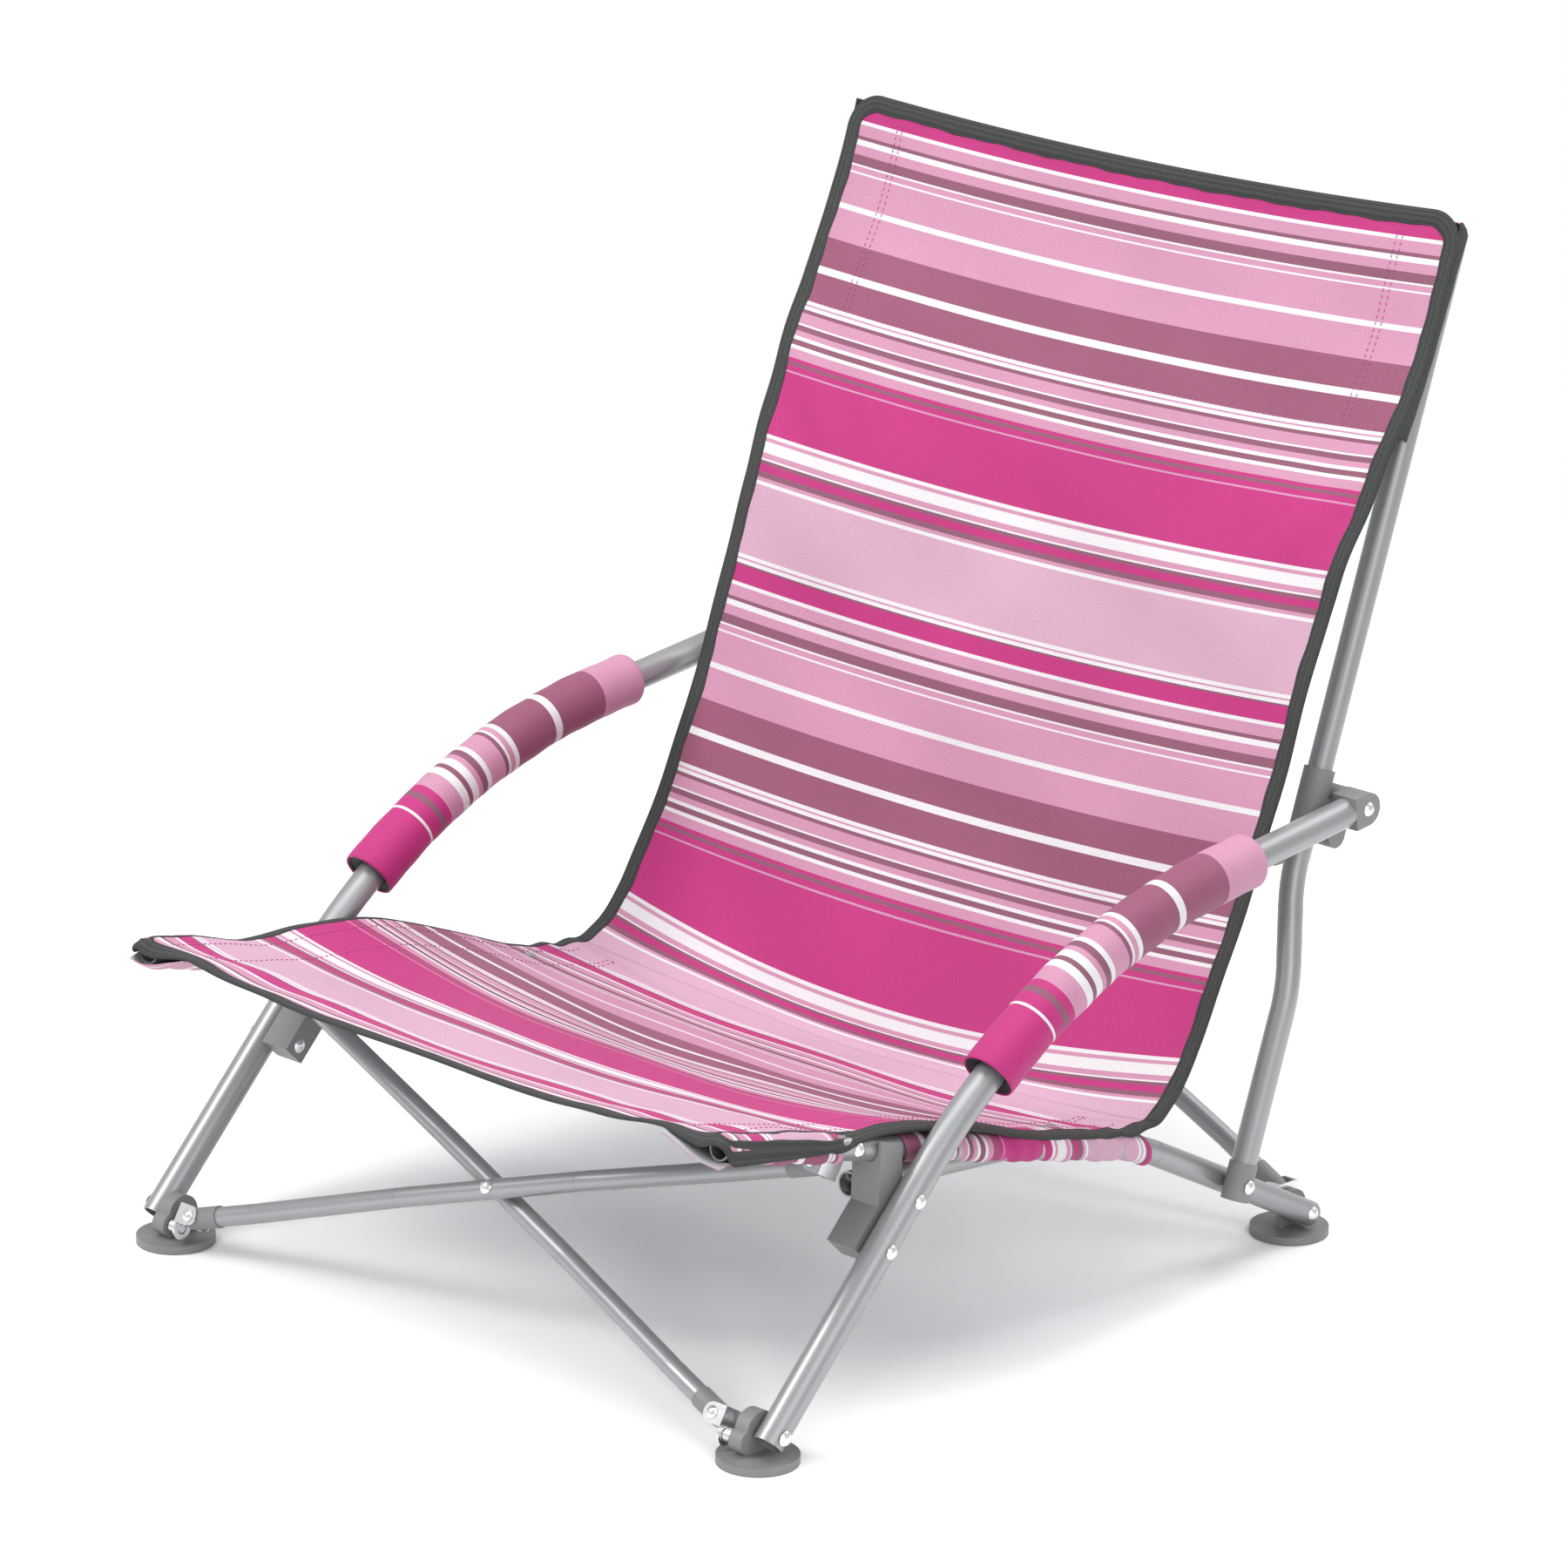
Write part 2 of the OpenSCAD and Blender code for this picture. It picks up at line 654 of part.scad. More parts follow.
module rear_lug_up_right() color(chrome) rearLugUp();
module rear_lug_up_left() color(chrome) leftOf() rearLugUp();
module front_tube_a() color(steel) frontPlane() crossTube(front_w, front_v, 1);
module front_tube_b() color(steel) frontPlane() crossTube(front_w, -front_v, -1, run_fit);
module rear_tube_a() color(steel) rearPlane() crossTube(rear_w, rear_v, -1, 0, rear_play);
module rear_tube_b() color(steel) rearPlane() crossTube(rear_w, -rear_v, 1, 0, rear_play);
module front_caps_a() color(plastic) frontPlane() crossCaps(front_w, front_v);
module front_caps_b() color(plastic) frontPlane() crossCaps(front_w, -front_v);
module rear_caps_a() color(plastic) rearPlane() crossCaps(rear_w, rear_v);
module rear_caps_b() color(plastic) rearPlane() crossCaps(rear_w, -rear_v);
module front_rivets_a() color(chrome) frontPlane() crossRivets(front_w, front_v, 2);
module front_rivets_b() color(chrome) frontPlane() endRivets(front_w, -front_v);
module rear_rivets_a() color(chrome) rearPlane() crossRivets(rear_w, rear_v, -1, rear_play);
module rear_rivets_b() color(chrome) rearPlane() crossRivets(rear_w, -rear_v, 1, rear_play);
module seat_sling() color("hotpink") seatSling();
module back_sling() color("hotpink") backSling();

arm_tube_right();
arm_tube_left();
arm_end_cap_right();
arm_end_cap_left();
arm_sleeve_right();
arm_sleeve_left();
saddle_right();
saddle_left();
arm_rivets_right();
arm_rivets_left();
link_tube_right();
link_tube_left();
seat_rail_right();
seat_rail_left();
rail_sleeve_right();
rail_sleeve_left();
rail_pins_right();
rail_pins_left();
back_post_right();
back_post_left();
post_foot_right();
post_foot_left();
stop_screw_right();
stop_screw_left();
slider_right();
slider_left();
front_foot_right();
front_foot_left();
foot_pins_right();
foot_pins_left();
foot_spring_right();
foot_spring_left();
rear_foot_right();
rear_foot_left();
front_lug_low_right();
front_lug_low_left();
front_lug_up_right();
front_lug_up_left();
rear_lug_low_right();
rear_lug_low_left();
rear_lug_up_right();
rear_lug_up_left();
front_tube_a();
front_tube_b();
rear_tube_a();
rear_tube_b();
front_caps_a();
front_caps_b();
rear_caps_a();
rear_caps_b();
front_rivets_a();
front_rivets_b();
rear_rivets_a();
rear_rivets_b();
seat_sling();
back_sling();
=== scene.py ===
import bpy
import math
import numpy as np
from mathutils import Matrix, Vector


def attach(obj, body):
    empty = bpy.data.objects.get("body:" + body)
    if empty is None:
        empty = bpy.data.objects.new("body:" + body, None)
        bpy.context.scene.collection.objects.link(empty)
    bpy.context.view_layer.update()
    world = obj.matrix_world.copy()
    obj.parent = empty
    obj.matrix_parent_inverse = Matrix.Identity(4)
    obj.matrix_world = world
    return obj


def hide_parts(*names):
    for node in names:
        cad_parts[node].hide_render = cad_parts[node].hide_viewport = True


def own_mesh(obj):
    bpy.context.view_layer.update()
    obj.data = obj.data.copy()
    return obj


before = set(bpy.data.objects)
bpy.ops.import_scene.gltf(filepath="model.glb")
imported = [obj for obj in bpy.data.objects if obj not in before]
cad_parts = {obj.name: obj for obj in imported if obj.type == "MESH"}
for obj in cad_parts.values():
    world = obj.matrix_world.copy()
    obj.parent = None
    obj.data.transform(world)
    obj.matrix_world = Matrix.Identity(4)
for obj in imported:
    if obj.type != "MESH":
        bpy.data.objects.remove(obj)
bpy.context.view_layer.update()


# a node output that can be added, multiplied and so on
class Socket:
    def __init__(self, shader, output):
        self.shader = shader
        self.output = output

    def combine(self, kind, first, second):
        return self.shader.math(kind, first, second)

    def __add__(self, other):
        return self.combine("ADD", self, other)

    def __radd__(self, other):
        return self.combine("ADD", other, self)

    def __sub__(self, other):
        return self.combine("SUBTRACT", self, other)

    def __rsub__(self, other):
        return self.combine("SUBTRACT", other, self)

    def __mul__(self, other):
        return self.combine("MULTIPLY", self, other)

    def __rmul__(self, other):
        return self.combine("MULTIPLY", other, self)

    def __truediv__(self, other):
        return self.combine("DIVIDE", self, other)

    def __rtruediv__(self, other):
        return self.combine("DIVIDE", other, self)

    def __gt__(self, other):
        return self.combine("GREATER_THAN", self, other)

    def other(self, index):
        return Socket(self.shader, self.output.node.outputs[index])


class Shader:
    def __init__(self, owner, kind="OutputMaterial"):
        self.material = owner
        self.material.use_nodes = True
        self.tree = self.material.node_tree
        self.tree.nodes.clear()
        self.output = self.tree.nodes.new("ShaderNode" + kind)

    def feed(self, node, key, value):
        if isinstance(value, Socket):
            self.tree.links.new(value.output, node.inputs[key])
        elif isinstance(value, tuple) and len(value) == 3 and node.inputs[key].type == "RGBA":
            node.inputs[key].default_value = (*value, 1)
        else:
            node.inputs[key].default_value = value

    def node(self, kind, settings=None, out=0, **sockets):
        made = self.tree.nodes.new("ShaderNode" + kind)
        for key, value in (settings or {}).items():
            if key == "stops":
                self.setStops(made.color_ramp, value)
            else:
                setattr(made, key, value)
        for key, value in sockets.items():
            place = int(key[1:]) if key[0] == "i" and key[1:].isdigit() else key.replace("_", " ")
            self.feed(made, place, value)
        return Socket(self, made.outputs[out])

    def math(self, kind, first, second=0.0):
        return self.node("Math", {"operation": kind}, i0=first, i1=second)

    def mix(self, share, first, second):
        return self.node("Mix", {"data_type": "RGBA"}, 2, i0=share, i6=first, i7=second)

    def scale(self, color, share):
        return self.node("VectorMath", {"operation": "SCALE"}, i0=color, i3=share)

    def wave(self, value, length):
        return self.node("Math", {"operation": "SINE"}, i0=value * (2 * math.pi / length))

    def setStops(self, ramp, stops):
        ramp.interpolation = "CONSTANT"
        while len(ramp.elements) > 1:
            ramp.elements.remove(ramp.elements[-1])
        ramp.elements[0].position = stops[0][0]
        ramp.elements[0].color = (*stops[0][1], 1)
        for place, color in stops[1:]:
            ramp.elements.new(place).color = (*color, 1)

    def steps(self, value, stops):
        return self.node("ValToRGB", {"stops": stops}, i0=value)

    def finish(self, last):
        self.tree.links.new(last.output, self.output.inputs[0])

    def surface(self, **sockets):
        self.finish(self.node("BsdfPrincipled", **sockets))
        return self.material


# linear colors of the yarns and tapes
clothColors = {"magenta": (0.420, 0.019, 0.160), "pink": (0.500, 0.235, 0.350),
               "light": (0.530, 0.315, 0.420), "mauve": (0.250, 0.070, 0.134),
               "plum": (0.215, 0.074, 0.122), "white": (0.66, 0.645, 0.655),
               "binding": (0.026, 0.030, 0.027), "thread": (0.50, 0.10, 0.28),
               "under": (0.36, 0.36, 0.38), "foam": (0.022, 0.025, 0.024)}
stripeStart, stripePeriod = 7, 313  # millimetres along the cloth
stripes = [(7, "magenta"), (18, "white"), (20, "pink"), (27, "plum"), (30, "white"),
           (33, "pink"), (40, "plum"), (45, "white"), (47, "pink"), (50, "white"),
           (52, "pink"), (73, "white"), (76.5, "pink"), (97, "mauve"),
           (117, "white"), (121, "mauve"), (140.5, "white"), (143, "pink"), (145, "white"), (147, "plum"),
           (150, "pink"), (157, "white"), (158.5, "plum"), (162, "pink"), (166, "white"), (168, "plum"),
           (171, "white"), (174, "pink"), (180, "magenta"), (183, "plum"), (185, "magenta"), (188, "pink"),
           (189.5, "magenta"), (232, "plum"), (233, "white"), (235, "pink"), (237, "white"), (245, "pink"),
           (248, "white"), (249.5, "plum"), (252, "magenta"), (257, "plum"), (261, "pink"), (263, "white"),
           (266, "light"), (312, "white"), (314, "pink"), (316, "white"), (318, "plum")]
sleeveStripes = [(0, "magenta"), (0.175, "white"), (0.18, "magenta"), (0.215, "plum"), (0.235, "magenta"),
                 (0.26, "pink"), (0.305, "white"), (0.33, "plum"), (0.345, "white"), (0.37, "pink"),
                 (0.385, "plum"), (0.405, "white"), (0.42, "pink"), (0.475, "plum"), (0.485, "white"),
                 (0.495, "pink"), (0.51, "white"), (0.525, "mauve"), (0.665, "white"), (0.69, "mauve"),
                 (0.85, "pink")]


# cross stripes at a distance along the cloth, in metres
def stripeColor(shader, place):
    turns = (place - stripeStart / 1000) / (stripePeriod / 1000)
    part = shader.node("Math", {"operation": "FRACT"}, i0=turns)
    found = [((start - stripeStart) / stripePeriod, clothColors[name]) for start, name in stripes]
    half = 24  # a ramp holds at most 32 stops
    low = shader.steps(part, found[:half])
    high = shader.steps(part, [(0.0, found[half][1])] + found[half + 1:])
    return shader.mix(part > found[half][0], low, high)


# two-way weave with uneven yarn over a flat color
def wovenSurface(s, uv, color, rough=0.62):
    across = s.node("SeparateXYZ", i0=uv)
    along = across.other(1)
    fine = s.node("TexNoise", {"noise_dimensions": "2D"}, Vector=uv, Scale=900.0, Detail=2.0)
    broad = s.node("TexNoise", {"noise_dimensions": "2D"}, Vector=uv, Scale=9.0, Detail=3.0)
    yarn = s.wave(across, 0.0011) * s.wave(along, 0.0009)
    grain = (fine - 0.5) * 0.34 + yarn * 0.05
    toned = s.scale(color, 0.90 + grain + (broad - 0.5) * 0.16)
    bump = s.node("Bump", Strength=0.22, Distance=0.0004, Height=yarn * 0.5 + fine * 0.6)
    return s.surface(Base_Color=toned, Roughness=rough - grain * 0.3, Normal=bump,
                     Sheen_Weight=0.06, Sheen_Roughness=0.5, Specular_IOR_Level=0.3)


def clothMaterial(name):
    s = Shader(bpy.data.materials.new(name))
    uv = s.node("UVMap", {"uv_map": "cloth"})
    along = s.node("SeparateXYZ", i0=uv).other(1)
    return wovenSurface(s, uv, stripeColor(s, along))


# the sleeve's outer radius, its foam, the middle line's x and the length
sleeveValues = {"radius": 0.0174, "foam": 0.0158, "center": 0.2668, "high": 0.25}


def sleeveMaterial(name):
    s = Shader(bpy.data.materials.new(name))
    uv = s.node("UVMap", {"uv_map": "cloth"})
    along = s.node("SeparateXYZ", i0=uv).other(1)
    stops = [(place, clothColors[color]) for place, color in sleeveStripes]
    return wovenSurface(s, uv, s.steps(along / sleeveValues["high"], stops))


def plainCloth(name, color, scale=700.0, rough=0.75):
    s = Shader(bpy.data.materials.new(name))
    fine = s.node("TexNoise", Vector=s.node("TexCoord", out=3), Scale=scale, Detail=2.0)
    bump = s.node("Bump", Strength=0.35, Distance=0.0004, Height=fine)
    return s.surface(Base_Color=s.scale(color, 0.7 + fine * 0.6), Roughness=rough + (fine - 0.5) * 0.1,
                     Normal=bump, Sheen_Weight=0.1)


def bindingMaterial():
    s = Shader(bpy.data.materials.new("binding_tape"))
    uv = s.node("UVMap", {"uv_map": "cloth"})
    around = s.node("SeparateXYZ", i0=uv)
    along = around.other(1)
    rib = s.wave(along + around * 0.6, 0.0022) * s.wave(along - around * 0.6, 0.0022)
    fine = s.node("TexNoise", {"noise_dimensions": "2D"}, Vector=uv, Scale=1100.0, Detail=2.0)
    toned = s.scale(clothColors["binding"], 1.0 + rib * 0.55 + (fine - 0.5) * 1.2)
    bump = s.node("Bump", Strength=0.6, Distance=0.0005, Height=rib + fine)
    return s.surface(Base_Color=toned, Roughness=0.7 + (fine - 0.5) * 0.1, Normal=bump)


paintValues = {"color": (0.30, 0.303, 0.31), "roughness": 0.36, "metallic": 0.55}


def paintMaterial():
    s = Shader(bpy.data.materials.new("silver_gray_paint"))
    at = s.node("TexCoord", out=3)
    flake = s.node("TexNoise", Vector=at, Scale=1600.0, Detail=1.0)
    broad = s.node("TexNoise", Vector=at, Scale=22.0, Detail=3.0)
    dark, bright = (tuple(c * share for c in paintValues["color"]) for share in (0.93, 1.06))
    color = s.mix(broad, dark, bright)
    bump = s.node("Bump", Strength=0.06, Distance=0.0003, Height=flake)
    rough = paintValues["roughness"] + (flake - 0.5) * 0.2 + (broad - 0.5) * 0.08
    return s.surface(Base_Color=color, Roughness=rough, Metallic=paintValues["metallic"], Normal=bump,
                     Coat_Weight=0.25, Coat_Roughness=0.3)


plasticValues = {"color": (0.185, 0.187, 0.192), "roughness": 0.5}


def plasticMaterial(name, color, rough):
    s = Shader(bpy.data.materials.new(name))
    at = s.node("TexCoord", out=3)
    fine = s.node("TexNoise", Vector=at, Scale=900.0, Detail=2.0)
    broad = s.node("TexNoise", Vector=at, Scale=30.0, Detail=3.0)
    tone = s.mix(broad, tuple(c * 0.9 for c in color), tuple(c * 1.1 for c in color))
    bump = s.node("Bump", Strength=0.15, Distance=0.0003, Height=fine)
    return s.surface(Base_Color=tone, Roughness=rough + (fine - 0.5) * 0.14, Normal=bump)


chromeValues = {"color": (0.78, 0.78, 0.79), "roughness": 0.16}


def chromeMaterial():
    s = Shader(bpy.data.materials.new("bright_rivets"))
    at = s.node("TexCoord", out=3)
    fine = s.node("TexNoise", Vector=at, Scale=500.0, Detail=2.0)
    rough = chromeValues["roughness"] + fine * 0.16
    return s.surface(Base_Color=chromeValues["color"], Metallic=1.0, Roughness=rough)


stripedCloth = clothMaterial("striped_polyester")
stripedSleeve = sleeveMaterial("striped_sleeve")
bindingTape = bindingMaterial()
threadMat = plainCloth("pink_thread", clothColors["thread"], 2500.0, 0.6)
underCloth = plainCloth("cloth_underside", clothColors["under"])
foamRubber = plainCloth("dark_foam", clothColors["foam"])
paint = paintMaterial()
plastic = plasticMaterial("gray_plastic", plasticValues["color"], plasticValues["roughness"])
chrome = chromeMaterial()
for name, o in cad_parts.items():
    words = set(name.split("_"))
    o.data.materials.clear()
    if words & {"rivets", "pins", "screw", "spring", "lug"}:
        o.data.materials.append(chrome)
    elif words & {"tube", "post", "rail"} and "foot" not in words:
        o.data.materials.append(paint)
    else:
        o.data.materials.append(plastic)
print("materials made")

# metres, flat size: half width, the back's and the whole length, corner radii and so on
slingValues = {"half": 0.2535, "back": 0.594, "length": 0.987, "topCorner": 0.024,
               "frontCorner": 0.013, "thickness": 0.0009, "binding": 0.0105,
               "sagBack": 0.008, "step": 0.005, "hem": 0.141}
clothHalf, clothLength = slingValues["half"], slingValues["length"]
backMm, seatMm = 594, 393  # lengths of the two panels in millimetres
railX = 0.2455  # middle line of a seat rail
railSlope = 0.2636
wrapStart = 0.2425  # the cloth turns over the rail from here outwards
wrapRadius = 0.0098  # the cloth's face round the rail's axis

# the edge of the back as y and z in millimetres, from the top down
edgeBack = [(318, 641), (305, 605.5), (288.5, 561), (264, 516), (240, 476), (220, 436),
            (204, 397), (190, 360), (176, 323), (161, 287), (144, 245), (128, 212),
            (110, 180), (90, 148), (72, 125), (53, 113)]
# height of the seat cloth's edge over the rail's axis, at distances back: right side, left side
seatEdgeY = [-336, -316, -274, -238, -222, -200, -158, -128, -94, -45, -8, 23, 53]
rightLift = [-9.5, -8, -4.5, -0.5, 4, 10, 14, 13, 11.5, 7, 7, 8.5, 13]
leftLift = [-3, 0, 4, 8, 11, 18, 23, 23, 21, 13, 8, 8.5, 13]
# middle line of the seat: place along the cloth, y and z in millimetres
middleSeat = [(594, 64, 99), (640, 20, 103), (690, -29, 115.5), (745, -83, 131.5), (800, -136.5, 144.5),
              (850, -185, 156.5), (900, -233, 168), (950, -281.5, 179.5), (987, -317, 188.6)]


# height of the rail's axis in metres, y in millimetres
def railHeight(y):
    return (103 - railSlope * (y - 42)) / 1000


# distance run along a line of points, at each point
def runLength(points):
    return np.r_[0, np.cumsum(np.linalg.norm(np.diff(points, axis=0), axis=1))]


def smoothed(values, spread):
    reach = int(3 * spread)
    kernel = np.exp(-0.5 * (np.arange(-reach, reach + 1) / spread) ** 2)
    kernel /= kernel.sum()
    before, after = values[reach:0:-1], values[-2:-reach - 2:-1]
    padded = np.concatenate([2 * values[0] - before, values, 2 * values[-1] - after])
    return np.convolve(padded, kernel, "valid")


backPoints = np.array(edgeBack, float)
backPlace = runLength(backPoints)
backPlace *= backMm / backPlace[-1]
seatY = np.array(seatEdgeY[::-1], float)
eachMm = np.arange(0, backMm + seatMm + 1)


# edge of the cloth as y and z for each whole millimetre along it
def edgeCurve(lift):
    z = np.array([railHeight(y) * 1000 for y in seatY]) + np.array(lift[::-1], float)
    seat = np.stack([seatY, z], 1)
    place = runLength(seat)
    place = backMm + place * seatMm / place[-1]
    allPlace = np.r_[backPlace, place[1:]]
    allPoints = np.r_[backPoints, seat[1:]]
    columns = [smoothed(np.interp(eachMm, allPlace, allPoints[:, k]), 9) for k in (0, 1)]
    return np.stack(columns, 1) / 1000


rightEdge, leftEdge = edgeCurve(rightLift), edgeCurve(leftLift)
meanEdge = (rightEdge + leftEdge) / 2
tangent = np.gradient(meanEdge, axis=0)
tangent /= np.linalg.norm(tangent, axis=1)[:, None]
backward = np.stack([-tangent[:, 1], tangent[:, 0]], 1)
backHang = 0.006 * np.clip(np.sin(np.pi * np.clip(eachMm / backMm, 0, 1)), 0, 1)
middleLine = meanEdge + backward * backHang[:, None]
seatMiddle = np.array(middleSeat, float)
blendIn = np.clip((eachMm - 520) / 74, 0, 1)[:, None]
seatPart = [np.interp(eachMm, seatMiddle[:, 0], seatMiddle[:, k]) for k in (1, 2)]
seatPart = np.stack(seatPart, 1) / 1000
middleLine = middleLine * (1 - blendIn) + seatPart * blendIn
middleLine = np.stack([smoothed(middleLine[:, k], 16) for k in (0, 1)], 1)


# a point at a distance in metres on a curve given at each millimetre
def sample(curve, place):
    mm = place * 1000
    k = np.clip(np.floor(mm).astype(int), 0, backMm + seatMm - 1)
    f = (mm - k)[..., None]
    return curve[k] * (1 - f) + curve[k + 1] * f


# half width of the hung cloth
def halfWidth(place):
    mm = place * 1000
    return np.interp(mm, [0, 120, 180, 260, 420, 540, 600, 987],
                     [0.2560, 0.2560, 0.2525, 0.2470, 0.2455, 0.2470, 0.2510, 0.2535])


# loose cloth: long shallow folds and small creases near the corners, in metres
def ripple(x, v):
    seat = np.clip((v - 0.60) / 0.05, 0, 1)
    back = 1 - seat
    side = np.abs(x) / 0.25
    long = 0.0011 * np.sin(v * 38 + 5 * x + 1.3) * np.sin(x * 19 + 2.1) + 0.0006 * np.sin(v * 71 - x * 33)
    frontFold = 0.0016 * np.sin(x * 95 + v * 60) * np.exp(-((v - 0.955) / 0.05) ** 2)
    frontFold = frontFold * np.clip(side * 1.6 - 0.55, 0, 1)
    cornerFold = 0.0013 * np.sin(v * 240 + np.abs(x) * 55) * np.exp(-((v - 0.615) / 0.03) ** 2)
    cornerFold = cornerFold * np.clip(side * 2 - 1, 0, 1)
    pull = 0.0010 * np.sin((v * 0.8 + np.abs(x)) * 105) * np.exp(-((v - 0.20) / 0.07) ** 2)
    pull = pull * np.clip(side * 2 - 1.05, 0, 1)
    return back * (long + pull) + seat * (0.8 * long + frontFold) + cornerFold


# where the cloth is at a distance x from its middle line and v from its top edge
def clothPoint(x, v):
    x, v = np.asarray(x, float), np.asarray(v, float)
    side = np.clip(np.abs(x) / clothHalf, 0, 1)
    onSeat = np.clip((v - 0.56) / 0.08, 0, 1)
    topSag = slingValues["sagBack"] * (1 - side ** 2) - 0.0025 * x / clothHalf
    place = v + topSag * (1 - onSeat)
    edge = np.where(x[..., None] > 0, sample(rightEdge, place), sample(leftEdge, place))
    middle = sample(middleLine, place)
    # over the rail the cloth rises to the tube's top and drops outside it
    railTop = railHeight(edge[..., 0] * 1000) + 0.0094
    inner = edge.copy()
    inner[..., 1] = np.maximum(edge[..., 1] + 0.0022, railTop) * onSeat + edge[..., 1] * (1 - onSeat)
    t = np.clip(np.abs(x) / wrapStart, 0, 1)
    power = 2.3 * onSeat + 2.0 * (1 - onSeat)
    g = (t ** power)[..., None]
    body = middle * (1 - g) + inner * g
    out = np.clip((np.abs(x) - wrapStart) / 0.011, 0, 1)[..., None]
    seatShare = onSeat[..., None]
    yz = body * (1 - out ** 2) + (edge * seatShare + body * (1 - seatShare)) * out ** 2
    wide = x * (halfWidth(v) / clothHalf)
    # where its edge hangs low the cloth lies round the tube's outer side
    axis = railHeight(inner[..., 0] * 1000)
    lift = edge[..., 1] - axis
    wrap = np.clip((0.005 - lift) / 0.005, 0, 1) * onSeat * (out[..., 0] > 0)
    angle = 1.885 * (1 - np.minimum(out[..., 0] / 0.75, 1))
    down = np.clip(out[..., 0] * 4 - 3, 0, 1)
    around = wrapRadius * np.sin(angle) * (1 - down) + np.minimum(lift, 0) * down
    wide = wide * (1 - wrap) + np.sign(x) * (railX + wrapRadius * np.cos(angle)) * wrap
    yz = np.stack([yz[..., 0], yz[..., 1] * (1 - wrap) + (axis + around) * wrap], -1)
    # the front corners curl down round the tips of the rails
    curl = np.clip((np.abs(x) - 0.205) / 0.03, 0, 1) * np.clip((v - 0.973) / 0.014, 0, 1) ** 2
    height = yz[..., 1] - 0.009 * curl * (1 - out[..., 0] * 0.6)
    return np.stack([wide, yz[..., 0] + 0.0015 * curl, height], -1)


def clothNormal(x, v):
    e = 0.002
    a = clothPoint(x + e, v) - clothPoint(x - e, v)
    b = clothPoint(x, v + e) - clothPoint(x, v - e)
    n = np.cross(b, a)
    return n / np.linalg.norm(n, axis=-1)[..., None]


# a point of the finished cloth, lifted off its face by lift
def clothAt(x, v, lift=0.0):
    x, v = np.asarray(x, float), np.asarray(v, float)
    n = clothNormal(x, v)
    return clothPoint(x, v) + n * (ripple(x, v) + lift)[..., None]


def makeMesh(name, points, faces, uvs=None, materials=(), faceMaterial=None, smooth=True):
    mesh = bpy.data.meshes.new(name)
    mesh.from_pydata([tuple(p) for p in points], [], [tuple(f) for f in faces])
    if uvs is not None:
        layer = mesh.uv_layers.new(name="cloth")
        loops = np.zeros(len(mesh.loops), int)
        mesh.loops.foreach_get("vertex_index", loops)
        layer.data.foreach_set("uv", np.asarray(uvs, np.float32)[loops].ravel())
    for m in materials:
        mesh.materials.append(m)
    if faceMaterial is not None:
        mesh.polygons.foreach_set("material_index", np.asarray(faceMaterial, np.int32))
    mesh.polygons.foreach_set("use_smooth", [smooth] * len(mesh.polygons))
    mesh.update()
    obj = bpy.data.objects.new(name, mesh)
    bpy.context.scene.collection.objects.link(obj)
    return obj


# half width of the cut cloth, rounded at its four corners, at the flat size
def cutHalf(v):
    narrow = np.zeros_like(v)
    corners = ((slingValues["topCorner"], v), (slingValues["frontCorner"], clothLength - v))
    for r, near in corners:
        near = np.clip(near, 0, r)
        narrow = np.maximum(narrow, r - np.sqrt(np.maximum(r * r - (r - near) ** 2, 0)))
    return clothHalf - narrow


# rows of a panel, closer at the corners and where the back meets the seat
def rowPlaces(start, end, step):
    places = list(np.arange(start, end, step)) + [end]
    corners = ((0.0, slingValues["topCorner"]), (clothLength, slingValues["frontCorner"]))
    for border, r in corners:
        for k in range(12):
            d = r * (1 - math.cos(math.pi / 2 * k / 12))
            p = border + d if border == 0 else border - d
            if start <= p <= end:
                places.append(p)
    for k in range(0, 60):
        p = 0.56 + k * 0.002
        if start <= p <= end:
            places.append(p)
    return np.unique(np.round(places, 5))


# faces of a closed sheet of h rows and w columns, with how many lie on one side and round the edge
def sheetFaces(h, w):
    index = np.arange(h * w).reshape(h, w)
    a, b = index[:-1, :-1].ravel(), index[:-1, 1:].ravel()
    c, d = index[1:, 1:].ravel(), index[1:, :-1].ravel()
    ring = list(index[0, :]) + list(index[1:, -1]) + list(index[-1, -2::-1])
    ring += list(index[-2:0:-1, 0])
    sides = [(p, q, q + h * w, p + h * w) for p, q in zip(ring, ring[1:] + ring[:1])]
    faces = [tuple(f) for f in np.stack([a, d, c, b], 1)]
    faces += [tuple(f) for f in np.stack([a, b, c, d], 1) + h * w]
    return faces + sides, len(a), len(sides)


# one panel of the sling, striped on its face and gray underneath
def clothPiece(name, start, end):
    rows = rowPlaces(start, end, slingValues["step"])
    rim = [clothHalf - k * 0.0011 for k in range(0, 12)]
    columns = list(np.arange(-0.24, 0.2401, 0.006)) + rim + [-r for r in rim]
    columns = np.unique(np.round(columns, 5)) / clothHalf
    s, v = np.meshgrid(columns, rows)
    x = s * cutHalf(v)
    top = clothAt(x, v)
    low = clothAt(x, v, -slingValues["thickness"])
    flatTop, flatLow = top.reshape(-1, 3), low.reshape(-1, 3)
    faces, cells, rims = sheetFaces(*s.shape)
    uv = np.stack([x.ravel(), v.ravel()], 1)
    kinds = [0] * cells + [1] * cells + [0] * rims
    cloth = (stripedCloth, underCloth)
    return makeMesh(name, np.r_[flatTop, flatLow], faces, np.r_[uv, uv], cloth, kinds)


backCloth = clothPiece("back_cloth", 0.0, slingValues["back"])
seatCloth = clothPiece("seat_cloth", slingValues["back"], clothLength)
print("cloth made")


